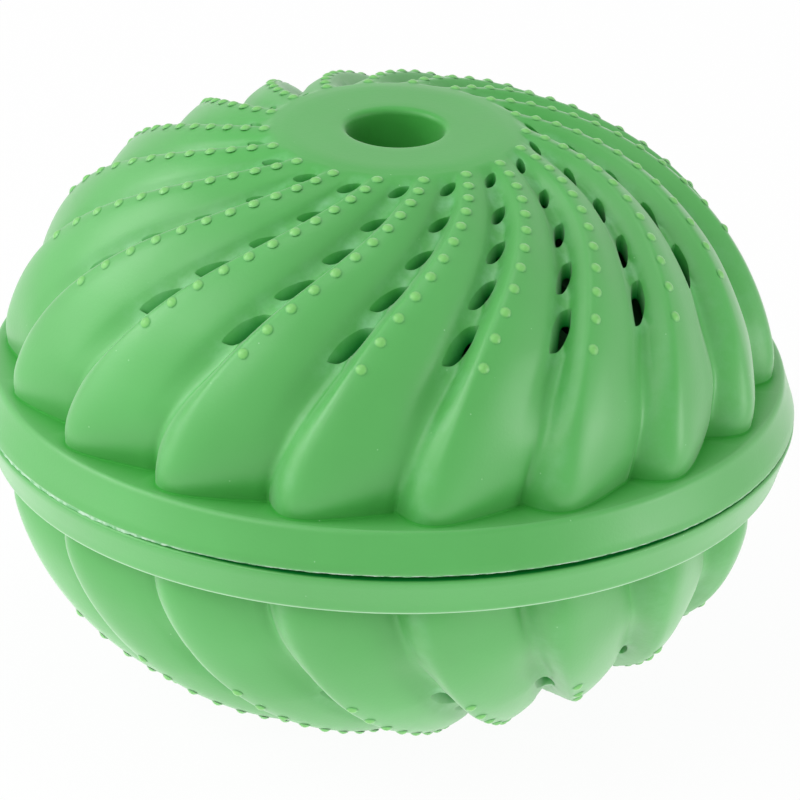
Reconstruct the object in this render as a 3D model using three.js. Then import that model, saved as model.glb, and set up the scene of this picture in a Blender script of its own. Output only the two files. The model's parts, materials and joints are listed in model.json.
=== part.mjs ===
// Laundry ball: two soft half shells with swirling petals, pressed together at a rim, around a hard
// two-part cage that holds loose ceramic pellets. Millimetres, +Z up, origin at the middle of the seam.
import * as THREE from "three";

// Petal crests in section: (r / CREST_RADIUS)^CREST_SQUARENESS + (z / CREST_HEIGHT)^CREST_DOMING = 1
const CREST_RADIUS = 48;
const CREST_HEIGHT = 36.4;
const CREST_SQUARENESS = 2.63;
const CREST_DOMING = 2.12;

// Petals: each crest drifts sideways by SWIRL for every millimetre of radius, and eases off towards the foot
const PETALS = 18;
const SWIRL = THREE.MathUtils.degToRad(1.5);
const SWIRL_EASE = THREE.MathUtils.degToRad(0.0172); // for every square millimetre past EASE_RADIUS
const EASE_RADIUS = 33;
const CREST_ANGLE_AT_DISC = THREE.MathUtils.degToRad(32.7);
const PETAL_START_RADIUS = 15;
const VALLEY_DEPTH = 2.4; // reached by degrees: VALLEY_DEPTH * (1 - exp(-run / VALLEY_RUN))
const VALLEY_RUN = 7;
const FOOT_DEPTH = 1.2; // how much deeper the valleys get from the last slot down to the foot
const VALLEY_LAG_AT_DISC = THREE.MathUtils.degToRad(10.8); // angle across the steep face, valley to crest
const VALLEY_LAG_AT_FOOT = THREE.MathUtils.degToRad(6.75); // reached at the last slot
const BELLY_PLACE = 0.5; // share of the broad face, from its crest down to the valley
const BELLY_DEPTH = 0.4; // share of the valley's depth reached there
const STEEP_DEPTH = 0.7; // share of the valley's depth at the slot's edge on the steep face
const FOOT_BELLY_DEPTH = 0.54; // the same shares at the foot, where the petals end as rounded fingers
const FOOT_STEEP_DEPTH = 0.42;
const SHELL_WALL = 2;

// Slots along each valley
const SLOT_START_RADIUS = 16.3;
const SLOT_PITCH = 4.99;
const SLOT_LENGTH = 1.8; // the slot nearest the disc, and how much longer each next one is
const SLOT_GROWTH = 0.475;
const SLOT_WIDTH = 1.75;
const SLOT_FOOT_MARGIN = 6;

// Flat disc, hole and collar at each pole
const DISC_RADIUS = 13;
const HOLE_RADIUS = 5.95;
const HOLE_LIP = 0.7;
const COLLAR_WALL = 1.8;
const COLLAR_DEPTH = 8;

// Rim flange that the petals stand on
const LEDGE_HEIGHT = 5.4;
const LEDGE_MARGIN = 0.3;
const RIM_OVERHANG = 2.35;
const RIM_TAPER = 1.3;
const RIM_EDGE_ROUND = 1.3;
const SEAM_EDGE_ROUND = 0.4;
const SEAM_GAP = 0.3;
const SEAM_LAND = 3.6;
const TONGUE_WALL = 1.6;
const FIT = 0.3;

// Cage, its windows and the spigot that joins its halves
const CAGE_GAP = 0.6;
const CAGE_WALL = 1.4;
const CAGE_RIM = 1.5;
const CROWN_HOLE_RADIUS = 3;
const WINDOWS = 12;
const WINDOW_WIDTH = 5;
const WINDOW_START_RADIUS = 14;
const WINDOW_PITCH = 10;
const WINDOW_LENGTH = 8;
const WINDOW_RIM_MARGIN = 5;
const SPIGOT_WALL = 1.2;
const SPIGOT_ROOT = 3;

// Pellets: rings of one, six, twelve and so on cover the floor, and the rest lie in pockets on top
const PELLET_RADIUS = 4.2;
const PELLET_GAP = 0.4;
const FLOOR_RINGS = 3;
const RING_STEP = 6;
const POCKET_RINGS = [
  { count: 3, pitches: 0.58, offset: 1 / 12 },
  { count: 8, pitches: 1.75, offset: 0 },
];

// Fineness: columns of points round the axis, and points tried along each stretch of the cage's floor
const POLE_COLUMNS = 24;
const RIM_COLUMNS = 54;
const FLOOR_SAMPLES = 20;

// Colours and roughness
const SHELL_GREEN = 0x5fb968;
const SHELL_ROUGHNESS = 0.5;
const CAGE_GREEN = 0x2f6a3c;
const CAGE_ROUGHNESS = 0.4;
const PELLET_COLOURS = { grey: 0x8b8f90, brown: 0x9c6a4a, white: 0xe9e4d8, blue: 0x7f98ad };
const PELLET_ROUGHNESS = 0.8;

const FULL_TURN = 2 * Math.PI;

// A dome in section, from its radius at the seam and its height at the pole.
class Dome {
  constructor(radius, height) {
    this.radius = radius;
    this.height = height;
  }

  heightAt(r) {
    return this.height * (1 - (r / this.radius) ** CREST_SQUARENESS) ** (1 / CREST_DOMING);
  }

  radiusAt(z) {
    return this.radius * (1 - (z / this.height) ** CREST_DOMING) ** (1 / CREST_SQUARENESS);
  }

  // The point at radius r, moved inwards along the dome's normal.
  inset(r, depth) {
    const z = this.heightAt(r);
    const across = (CREST_SQUARENESS / this.radius) * (r / this.radius) ** (CREST_SQUARENESS - 1);
    const up = (CREST_DOMING / this.height) * (z / this.height) ** (CREST_DOMING - 1);
    const length = Math.hypot(across, up);
    return { r: r - (depth * across) / length, z: z - (depth * up) / length };
  }
}

// A closed skin sewn from rings of points, each of which runs once round the axis.
class Skin {
  vertices = [];
  faces = [];

  // Turns are shares of a full turn, counted from the angle phase; sectionAt gives a column's r and z.
  addRing(turns, phase, sectionAt) {
    const ids = turns.map((turn, column) => {
      const { r, z } = sectionAt(column);
      const angle = phase + turn * FULL_TURN;
      this.vertices.push(r * Math.sin(angle), -r * Math.cos(angle), z);
      return this.vertices.length / 3 - 1;
    });
    return { turns, ids };
  }

  // Fills the band from ring a to ring b, and leaves out the columns that are open.
  addBand(a, b, isOpen = () => false) {
    const turnOf = (ring, k) => ring.turns[k % ring.turns.length] + Math.floor(k / ring.turns.length);
    const idOf = (ring, k) => ring.ids[k % ring.ids.length];
    let i = 0;
    let j = 0;
    while (i < a.ids.length || j < b.ids.length) {
      const bIsNext = turnOf(b, j + 1) <= turnOf(a, i + 1);
      if (i === a.ids.length || (bIsNext && j < b.ids.length)) {
        if (!isOpen(j)) this.faces.push(idOf(b, j), idOf(b, j + 1), idOf(a, i));
        j += 1;
      } else {
        if (!isOpen(i)) this.faces.push(idOf(b, j), idOf(a, i + 1), idOf(a, i));
        i += 1;
      }
    }
  }

  // A wall between outer and inner rows of rings. Every second band is pierced once in each repeat.
  addPiercedWall(outerRows, innerRows, repeats, outerHole, innerHole) {
    outerRows.slice(1).forEach((outerEnd, row) => {
      const outerStride = outerEnd.ids.length / repeats;
      const innerStride = innerRows[row].ids.length / repeats;
      const isPierced = row % 2 === 1;
      const isOuterHole = (column) => isPierced && column % outerStride === outerHole;
      const isInnerHole = (column) => isPierced && column % innerStride === innerHole;
      this.addBand(outerRows[row], outerEnd, isOuterHole);
      this.addBand(innerRows[row + 1], innerRows[row], isInnerHole);
      for (let repeat = 0; isPierced && repeat < repeats; repeat += 1) {
        this.addHoleWalls(
          cellCorners(outerRows[row], outerEnd, repeat * outerStride + outerHole),
          cellCorners(innerRows[row], innerRows[row + 1], repeat * innerStride + innerHole),
        );
      }
    });
  }

  // Lines one hole with walls, from its outer corners to its inner ones.
  addHoleWalls(outer, inner) {
    outer.forEach((from, k) => {
      const next = (k + 1) % outer.length;
      this.faces.push(from, outer[next], inner[next]);
      this.faces.push(from, inner[next], inner[k]);
    });
  }

  // Bands between the rings of a list, one after another.
  addChain(rings) {
    rings.slice(1).forEach((ring, k) => this.addBand(rings[k], ring));
  }

  // The skin as a geometry; side -1 mirrors it below the seam.
  toGeometry(side) {
    const position = Float32Array.from(this.vertices, (value, k) => (k % 3 === 2 ? side * value : value));
    const index = [];
    for (let k = 0; k < this.faces.length; k += 3) {
      const [p, q, r] = this.faces.slice(k, k + 3);
      index.push(...(side > 0 ? [p, q, r] : [p, r, q]));
    }
    const geometry = new THREE.BufferGeometry();
    geometry.setAttribute("position", new THREE.BufferAttribute(position, 3));
    geometry.setIndex(index);
    geometry.computeVertexNormals();
    return geometry;
  }
}

// The corners of the cell at a column between two rings.
function cellCorners(start, end, column) {
  const next = (column + 1) % start.ids.length;
  return [end.ids[column], end.ids[next], start.ids[next], start.ids[column]];
}

function evenTurns(count) {
  return Array.from({ length: count }, (_, k) => k / count);
}

// Turns of a pattern of shares that repeats round the axis.
function repeatTurns(repeats, shares) {
  return evenTurns(repeats).flatMap((turn) => shares.map((share) => turn + share / repeats));
}

// Start and end radii of the openings that fit in a row from one radius to another.
function spansBetween(start, end, pitch, length, growth) {
  const count = Math.floor((end - start) / pitch);
  return Array.from({ length: count }, (_, k) => {
    const from = start + k * pitch;
    return [from, from + length + k * growth];
  });
}

function makePiece(name, geometry, color, roughness) {
  const material = new THREE.MeshStandardMaterial({ color, roughness, metalness: 0 });
  const mesh = new THREE.Mesh(geometry, material);
  mesh.name = name;
  return mesh;
}

// Sizes of the shells that follow from the driving ones
const crest = new Dome(CREST_RADIUS, CREST_HEIGHT);
const footRadius = crest.radiusAt(LEDGE_HEIGHT);
const slotSpans = spansBetween(
  SLOT_START_RADIUS, footRadius - SLOT_FOOT_MARGIN, SLOT_PITCH, SLOT_LENGTH, SLOT_GROWTH,
);
const lastSlotRadius = slotSpans.flat().pop();
const lastSlotHeight = crest.heightAt(lastSlotRadius);
const shoulderRadius = crest.radiusAt(THREE.MathUtils.lerp(lastSlotHeight, LEDGE_HEIGHT, 1 / 3));
const hipRadius = crest.radiusAt(THREE.MathUtils.lerp(lastSlotHeight, LEDGE_HEIGHT, 2 / 3));
const innerFootRadius = footRadius - valleyDepth(footRadius) - SHELL_WALL;
const rimRadius = footRadius + RIM_OVERHANG;
const discHeight = crest.heightAt(DISC_RADIUS);
const collarEnd = discHeight - COLLAR_DEPTH;
const seamFace = SEAM_GAP / 2;
const tongueHeight = seamFace + CAGE_RIM;
const seatHeight = tongueHeight + FIT;
const stepRadius = rimRadius - SEAM_LAND;
const tongueOuter = stepRadius - FIT;
const tongueInner = tongueOuter - TONGUE_WALL;

// Sizes of the cage that follow from the shells
const cageWall = new Dome(innerFootRadius - CAGE_GAP, collarEnd - FIT);
const cageLining = new Dome(cageWall.radius - CAGE_WALL, cageWall.height - CAGE_WALL);
const cageRimRadius = tongueInner - FIT;
const cageNeckRadius = cageWall.radiusAt(tongueHeight);
const spigotOuter = cageLining.radiusAt(seatHeight) - FIT;
const spigotInner = spigotOuter - SPIGOT_WALL;
const windowSpans = spansBetween(
  WINDOW_START_RADIUS, cageWall.radius - WINDOW_RIM_MARGIN, WINDOW_PITCH, WINDOW_LENGTH, 0,
);
const lastWindowRadius = windowSpans.flat().pop();
const cageRows = [CROWN_HOLE_RADIUS, ...windowSpans.flat(), (lastWindowRadius + cageNeckRadius) / 2];
const liningSection = cageRows.map((r) => {
  const radius = (r * cageLining.radius) / cageWall.radius;
  return { r: radius, z: cageLining.heightAt(radius) };
});
const floorSection = [...liningSection, { r: spigotInner, z: SPIGOT_ROOT }];

function crestAngle(r) {
  const eased = SWIRL_EASE * Math.max(0, r - EASE_RADIUS) ** 2;
  return CREST_ANGLE_AT_DISC - SWIRL * (r - PETAL_START_RADIUS) + eased;
}

function valleyDepth(r) {
  const belowSlots = Math.max(0, (r - lastSlotRadius) / (footRadius - lastSlotRadius));
  return VALLEY_DEPTH * (1 - Math.exp((PETAL_START_RADIUS - r) / VALLEY_RUN)) + FOOT_DEPTH * belowSlots;
}

// Shares of the pitch from a crest to the valley beside it, and to the slot's far edge on the steep face.
function valleySides(r) {
  const reach = Math.min(1, (r - PETAL_START_RADIUS) / (lastSlotRadius - PETAL_START_RADIUS));
  const lag = THREE.MathUtils.lerp(VALLEY_LAG_AT_DISC, VALLEY_LAG_AT_FOOT, reach);
  const slotAngle = SLOT_WIDTH / (r * Math.cos(Math.atan(r * SWIRL)));
  const pitch = FULL_TURN / PETALS;
  return [1 - lag / pitch, 1 - (lag - slotAngle) / pitch];
}

// One half shell; seamSection lists the points from the seam's outer edge to the seat of the cage.
function halfShell(side, seamSection) {
  const skin = new Skin();
  const depthShares = [0, BELLY_DEPTH, 1, STEEP_DEPTH];
  const footShares = [0, FOOT_BELLY_DEPTH, 1, FOOT_STEEP_DEPTH];
  const valleyColumn = 2;
  const outerTurns = (r) => repeatTurns(PETALS, [0, BELLY_PLACE * valleySides(r)[0], ...valleySides(r)]);
  const innerTurns = (r) => repeatTurns(PETALS, valleySides(r));
  const depthOf = (r, column, shares) => valleyDepth(r) * shares[column % shares.length];
  const outerRing = (r, shares = depthShares) =>
    skin.addRing(outerTurns(r), crestAngle(r), (column) => crest.inset(r, depthOf(r, column, shares)));
  const innerRing = (r) =>
    skin.addRing(innerTurns(r), crestAngle(r), () => crest.inset(r, valleyDepth(r) + SHELL_WALL));
  const poleRing = (r, z) =>
    skin.addRing(evenTurns(POLE_COLUMNS), crestAngle(PETAL_START_RADIUS), () => ({ r, z }));
  const rimRing = (r, z) =>
    skin.addRing(evenTurns(RIM_COLUMNS), crestAngle(footRadius), () => ({ r, z }));

  const rows = [PETAL_START_RADIUS, ...slotSpans.flat(), shoulderRadius];
  const outerRows = rows.map((r) => outerRing(r));
  const innerRows = rows.map(innerRing);
  skin.addPiercedWall(outerRows, innerRows, PETALS, valleyColumn, 0);

  const outerFoot = skin.addRing(outerTurns(footRadius), crestAngle(footRadius), (column) => ({
    r: footRadius - depthOf(footRadius, column, footShares),
    z: LEDGE_HEIGHT,
  }));
  const innerFoot = skin.addRing(innerTurns(footRadius), crestAngle(footRadius), () => ({
    r: innerFootRadius,
    z: LEDGE_HEIGHT,
  }));
  skin.addChain([
    outerRows.at(-1),
    outerRing(hipRadius, footShares),
    outerFoot,
    rimRing(footRadius + LEDGE_MARGIN, LEDGE_HEIGHT),
    rimRing(rimRadius - RIM_TAPER, LEDGE_HEIGHT - RIM_EDGE_ROUND),
    rimRing(rimRadius, seamFace + SEAM_EDGE_ROUND),
    rimRing(rimRadius - SEAM_EDGE_ROUND, seamFace),
    ...seamSection.map(([r, z]) => rimRing(r, z)),
    rimRing(innerFootRadius, seatHeight),
    innerFoot,
    innerRing(hipRadius),
    innerRows.at(-1),
  ]);

  const collarRadius = HOLE_RADIUS + COLLAR_WALL;
  skin.addChain([
    innerRows[0],
    poleRing(collarRadius, discHeight - SHELL_WALL),
    poleRing(collarRadius, collarEnd),
    poleRing(HOLE_RADIUS, collarEnd),
    poleRing(HOLE_RADIUS, discHeight - HOLE_LIP),
    poleRing(HOLE_RADIUS + HOLE_LIP, discHeight),
    poleRing(DISC_RADIUS, discHeight),
    outerRows[0],
  ]);
  return skin.toGeometry(side);
}

// One cage half; jointSection lists the points from the rim's inner edge to the lining.
function halfCage(side, jointSection) {
  const skin = new Skin();
  const windowColumn = 1;
  const turnsAt = (r) => {
    const middleRadius = THREE.MathUtils.clamp(r, WINDOW_START_RADIUS, lastWindowRadius);
    const half = (WINDOW_WIDTH / 2) * (WINDOWS / (FULL_TURN * middleRadius));
    return repeatTurns(WINDOWS, [0, 0.5 - half, 0.5 + half]);
  };
  const ring = (r, z) => skin.addRing(turnsAt(r), 0, () => ({ r, z }));
  const outerRows = cageRows.map((r) => ring(r, cageWall.heightAt(r)));
  const innerRows = liningSection.map(({ r, z }) => ring(r, z));
  skin.addPiercedWall(outerRows, innerRows, WINDOWS, windowColumn, windowColumn);
  skin.addChain([
    outerRows.at(-1),
    ring(cageNeckRadius, tongueHeight),
    ring(cageRimRadius, tongueHeight),
    ring(cageRimRadius, seamFace),
    ...jointSection.map(([r, z]) => ring(r, z)),
    innerRows.at(-1),
  ]);
  skin.addChain([innerRows[0], outerRows[0]]);
  return skin.toGeometry(side);
}

// Lowest centre height for a pellet at radius r on the floor of the lower cage.
function floorHeight(r) {
  const reachOut = PELLET_RADIUS + PELLET_GAP;
  const samples = floorSection.slice(1).flatMap((end, k) => {
    const start = floorSection[k];
    return evenTurns(FLOOR_SAMPLES).map((share) => ({
      r: THREE.MathUtils.lerp(start.r, end.r, share),
      z: -THREE.MathUtils.lerp(start.z, end.z, share),
    }));
  });
  const near = samples.filter((point) => Math.abs(point.r - r) < reachOut);
  return Math.max(...near.map((point) => point.z + Math.sqrt(reachOut ** 2 - (point.r - r) ** 2)));
}

// Lets a pellet down at a place in plan until it meets the floor or a pellet that lies there.
function settle(settled, r, turn) {
  const centre = new THREE.Vector3(r * Math.sin(turn * FULL_TURN), -r * Math.cos(turn * FULL_TURN), 0);
  const heights = settled.map((other) => {
    const apart = Math.hypot(other.x - centre.x, other.y - centre.y);
    return apart < pelletPitch ? other.z + Math.sqrt(pelletPitch ** 2 - apart ** 2) : -Infinity;
  });
  centre.z = Math.max(floorHeight(r), ...heights);
  settled.push(centre);
}

const pelletPitch = 2 * PELLET_RADIUS + PELLET_GAP;
const pelletCentres = [];
settle(pelletCentres, 0, 0);
for (let ring = 1; ring <= FLOOR_RINGS; ring += 1) {
  evenTurns(RING_STEP * ring).forEach((turn) => settle(pelletCentres, ring * pelletPitch, turn));
}
POCKET_RINGS.forEach(({ count, pitches, offset }) => {
  evenTurns(count).forEach((turn) => settle(pelletCentres, pitches * pelletPitch, turn + offset));
});

const ball = new THREE.Group();
ball.name = "laundry_ball";
ball.add(
  makePiece(
    "lower_shell",
    halfShell(-1, [
      [tongueOuter, seamFace],
      [tongueOuter, -tongueHeight],
      [tongueInner, -tongueHeight],
      [tongueInner, seatHeight],
    ]),
    SHELL_GREEN,
    SHELL_ROUGHNESS,
  ),
  makePiece(
    "upper_shell",
    halfShell(1, [
      [stepRadius, seamFace],
      [stepRadius, seatHeight],
    ]),
    SHELL_GREEN,
    SHELL_ROUGHNESS,
  ),
  makePiece(
    "lower_cage",
    halfCage(-1, [
      [spigotOuter, seamFace],
      [spigotOuter, -tongueHeight],
      [spigotInner, -tongueHeight],
      [spigotInner, SPIGOT_ROOT],
    ]),
    CAGE_GREEN,
    CAGE_ROUGHNESS,
  ),
  makePiece(
    "upper_cage",
    halfCage(1, [
      [spigotOuter + FIT, seamFace],
      [spigotOuter + FIT, seatHeight],
    ]),
    CAGE_GREEN,
    CAGE_ROUGHNESS,
  ),
);

// Pellets of the four kinds lie mixed.
const kinds = Object.entries(PELLET_COLOURS);
pelletCentres.forEach((centre, k) => {
  const [kind, colour] = kinds[k % kinds.length];
  const name = `${kind}_pellet_${Math.floor(k / kinds.length) + 1}`;
  const pellet = makePiece(name, new THREE.IcosahedronGeometry(PELLET_RADIUS, 1), colour, PELLET_ROUGHNESS);
  pellet.position.copy(centre);
  ball.add(pellet);
});

export default ball;
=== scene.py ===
"""Laundry ball: two soft petalled half shells, a hard pellet cage and loose ceramic pellets.

Sizes are in millimetres until a mesh is written, where MM turns them into metres.
"""

import json
import logging
import math
from dataclasses import dataclass
from enum import Enum

import bpy
import numpy as np
from mathutils import Matrix, Vector, noise

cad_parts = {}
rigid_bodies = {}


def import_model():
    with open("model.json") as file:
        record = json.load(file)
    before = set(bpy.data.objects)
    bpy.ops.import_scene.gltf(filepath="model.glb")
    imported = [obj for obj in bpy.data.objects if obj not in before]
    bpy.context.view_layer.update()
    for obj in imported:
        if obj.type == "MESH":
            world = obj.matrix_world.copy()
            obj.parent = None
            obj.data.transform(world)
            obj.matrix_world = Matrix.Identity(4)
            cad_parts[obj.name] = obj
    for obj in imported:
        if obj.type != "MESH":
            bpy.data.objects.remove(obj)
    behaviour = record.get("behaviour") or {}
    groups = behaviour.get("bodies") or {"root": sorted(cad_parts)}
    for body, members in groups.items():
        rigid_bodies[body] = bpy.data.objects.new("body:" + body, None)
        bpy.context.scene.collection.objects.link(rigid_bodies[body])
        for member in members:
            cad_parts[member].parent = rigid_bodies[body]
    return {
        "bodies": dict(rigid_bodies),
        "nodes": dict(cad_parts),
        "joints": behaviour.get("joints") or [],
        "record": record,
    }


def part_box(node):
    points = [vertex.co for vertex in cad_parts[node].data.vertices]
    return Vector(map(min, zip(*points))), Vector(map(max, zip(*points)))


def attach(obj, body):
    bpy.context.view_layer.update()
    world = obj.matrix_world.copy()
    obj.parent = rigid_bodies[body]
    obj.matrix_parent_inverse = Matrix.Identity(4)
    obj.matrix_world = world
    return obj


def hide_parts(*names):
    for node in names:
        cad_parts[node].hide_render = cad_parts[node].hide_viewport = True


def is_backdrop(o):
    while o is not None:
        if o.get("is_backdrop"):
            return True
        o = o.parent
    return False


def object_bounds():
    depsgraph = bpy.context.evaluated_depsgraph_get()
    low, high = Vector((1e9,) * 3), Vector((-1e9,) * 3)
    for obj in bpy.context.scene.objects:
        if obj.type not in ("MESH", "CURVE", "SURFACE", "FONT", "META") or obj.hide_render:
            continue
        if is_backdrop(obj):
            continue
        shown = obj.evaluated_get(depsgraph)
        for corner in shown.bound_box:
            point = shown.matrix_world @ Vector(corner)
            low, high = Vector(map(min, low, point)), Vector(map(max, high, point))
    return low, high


LOG = logging.getLogger("laundry_ball")
MM = 0.001
FULL_TURN = 2 * math.pi

Pair = tuple[float, float]
Span = tuple[int, int]
Triple = tuple[float, float, float]

LEVEL = 1e-7  # metres; a smaller height counts as none
POINT_LIMIT = 0.5  # largest rounding of a hole's sharp corners, as a share of half the hole
BEND_LIMIT = 1.5  # the same for its broad corners
FILLET_ANGLES = (0, 30, 60, 90)  # degrees round the corner between a petal's foot and the ledge
ROWS_PAST_LAND = 3  # rows of the rim's section round the seam's own: the land's edge and the inner foot's two
# The marks carry milky bloom with a painted highlight on the steep faces, the nubs' tint, painted shade with
# less gloss on the inner walls, less gloss, and a painted highlight line on the lower rim's edge.
MARKS = ("bloom", "nub", "inner", "dull", "edge")  # numbers that the shells store for their finish
WHITE = (1.0, 1.0, 1.0, 1.0)


class Side(Enum):
    """Which half of the ball a piece belongs to; the value is the sign of its height."""

    UPPER = 1
    LOWER = -1


class Pellet(Enum):
    """The kinds of ceramic pellet, by the first word of their nodes' names."""

    GREY = "grey"
    BROWN = "brown"
    WHITE = "white"
    BLUE = "blue"


def smooth_step(low: float, high: float, value: np.ndarray) -> np.ndarray:
    """Rises smoothly from 0 at low to 1 at high.

    Args:
        low: where the rise starts.
        high: where the rise ends.
        value: where to read it.

    Returns:
        The share of the rise, from 0 to 1.
    """
    share = np.clip((np.asarray(value, float) - low) / (high - low), 0, 1)
    return share * share * (3 - 2 * share)


def smooth_band(rise: Pair, fall: Pair, value: np.ndarray) -> np.ndarray:
    """Rises smoothly from 0 to 1 over one span and falls back over a later one.

    Args:
        rise: where the rise starts and ends.
        fall: where the fall starts and ends.
        value: where to read it.

    Returns:
        The share, from 0 to 1.
    """
    return smooth_step(*rise, value) * (1 - smooth_step(*fall, value))


def smooth_curve(points: np.ndarray, where: np.ndarray) -> np.ndarray:
    """A smooth curve through points, without overshoot and level at both ends.

    Args:
        points: places and heights in order of place.
        where: the places to read.

    Returns:
        The curve's height at each place.
    """
    x, y = np.array(points, float).T
    rise = np.diff(y) / np.diff(x)
    slope = np.zeros(len(x))
    same_way = rise[1:] * rise[:-1] > 0
    slope[1:-1][same_way] = 2 * (rise[1:] * rise[:-1])[same_way] / (rise[1:] + rise[:-1])[same_way]
    k = np.clip(np.searchsorted(x, where, side="right") - 1, 0, len(x) - 2)
    width = x[k + 1] - x[k]
    t = (where - x[k]) / width
    start = (1 + 2 * t) * (1 - t) ** 2 * y[k] + t * (1 - t) ** 2 * width * slope[k]
    end = t * t * (3 - 2 * t) * y[k + 1] - t * t * (1 - t) * width * slope[k + 1]
    return start + end


def arc(start: Pair, corner: Pair, end: Pair, count: int) -> list[Pair]:
    """Points of a rounded corner, after its start and up to its end.

    Args:
        start: where the rounding starts, as radius and height.
        corner: the sharp corner that is rounded off.
        end: where the rounding ends.
        count: how many points.

    Returns:
        The points as (radius, height).
    """
    s, c, e = (np.array(p, float) for p in (start, corner, end))
    shares = np.linspace(0, 1, count + 1)[1:]
    return [tuple((1 - t) ** 2 * s + 2 * t * (1 - t) * c + t * t * e) for t in shares]


def ring_points(radius: np.ndarray, angle: np.ndarray, height: np.ndarray) -> np.ndarray:
    """Points round the axis.

    Args:
        radius: distance from the axis.
        angle: angle from the front, towards the right.
        height: height above the seam.

    Returns:
        Points with x, y and z last.
    """
    radius, angle, height = np.broadcast_arrays(radius, angle, height)
    return np.stack([radius * np.sin(angle), -radius * np.cos(angle), height], axis=-1)


def swing(first: Vector, second: Vector, angle: float) -> tuple[Vector, Vector]:
    """Turns two axes in their own plane, the first towards the second."""
    return (
        first * math.cos(angle) + second * math.sin(angle),
        second * math.cos(angle) - first * math.sin(angle),
    )


class Bench:
    """Hand tools: selecting, entering edit mode and copying meshes."""

    @staticmethod
    def take(piece: bpy.types.Object) -> None:
        """Makes a piece the only selected and active object."""
        bpy.ops.object.select_all(action="DESELECT")
        piece.select_set(True)
        bpy.context.view_layer.objects.active = piece

    @staticmethod
    def read(piece: bpy.types.Object) -> np.ndarray:
        """The vertices' places, in metres."""
        places = np.zeros(len(piece.data.vertices) * 3)
        piece.data.vertices.foreach_get("co", places)
        return places.reshape(-1, 3)

    @staticmethod
    def write(piece: bpy.types.Object, places: np.ndarray) -> None:
        """Moves the vertices to places in metres."""
        piece.data.vertices.foreach_set("co", np.ascontiguousarray(places, np.float32).ravel())
        piece.data.update()

    @staticmethod
    def keep(piece: bpy.types.Object, name: str, values: np.ndarray, kind: str = "FLOAT") -> None:
        """Stores one number for each vertex as an attribute."""
        attribute = piece.data.attributes.new(name, kind, "POINT")
        attribute.data.foreach_set("value", np.asarray(values, np.int32 if kind == "INT" else np.float32))

    @staticmethod
    def kept(piece: bpy.types.Object, name: str) -> np.ndarray:
        """Reads a stored whole number for each vertex."""
        values = np.zeros(len(piece.data.vertices), np.int32)
        piece.data.attributes[name].data.foreach_get("value", values)
        return values

    @staticmethod
    def edit(piece: bpy.types.Object, part: str, chosen: np.ndarray) -> None:
        """Enters edit mode with some of a mesh selected.

        Args:
            piece: the piece to edit.
            part: "VERT", "EDGE" or "FACE".
            chosen: which of them are selected, in the mesh's order.
        """
        Bench.take(piece)
        mesh = piece.data
        for group in (mesh.vertices, mesh.edges, mesh.polygons):
            group.foreach_set("select", np.zeros(len(group), bool))
        group = {"VERT": mesh.vertices, "EDGE": mesh.edges, "FACE": mesh.polygons}[part]
        group.foreach_set("select", np.asarray(chosen, bool))
        bpy.context.tool_settings.mesh_select_mode = tuple(part == p for p in ("VERT", "EDGE", "FACE"))
        bpy.ops.object.mode_set(mode="EDIT")

    @staticmethod
    def leave() -> None:
        """Goes back to object mode."""
        bpy.ops.object.mode_set(mode="OBJECT")

    @staticmethod
    def edge_ends(piece: bpy.types.Object) -> np.ndarray:
        """Both vertices of each edge."""
        ends = np.zeros(len(piece.data.edges) * 2, np.int32)
        piece.data.edges.foreach_get("vertices", ends)
        return ends.reshape(-1, 2)

    @staticmethod
    def finish(piece: bpy.types.Object, merge: float, crease: float) -> None:
        """Merges doubles, turns the faces outwards and shades the piece.

        Args:
            piece: the piece.
            merge: distance in millimetres within which vertices become one.
            crease: angle in radians past which an edge stays sharp.
        """
        Bench.edit(piece, "VERT", np.ones(len(piece.data.vertices), bool))
        bpy.ops.mesh.remove_doubles(threshold=merge * MM)
        bpy.ops.mesh.normals_make_consistent(inside=False)
        Bench.leave()
        bpy.ops.object.shade_smooth_by_angle(angle=crease)

    @staticmethod
    def mount(piece: bpy.types.Object, body: str, node: str, slot: str, material: bpy.types.Material) -> None:
        """Gives a finished piece its material and its place on a body.

        Args:
            piece: the finished piece.
            body: the body that it moves with.
            node: the solid that it stands for.
            slot: the record's material slot; not used.
            material: what it is made of.
        """
        piece.data.materials.clear()
        piece.data.materials.append(material)
        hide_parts(node)
        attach(piece, body)
        LOG.info("%s: %d faces on %s", piece.name, len(piece.data.polygons), body)


@dataclass(frozen=True)
class Hole:
    """A block of cells left open in both walls of a sector.

    The rows count along the outer wall, and inner_rows hold the same cells in the inner wall.
    """

    rows: Span
    inner_rows: Span
    columns: Span


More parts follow.
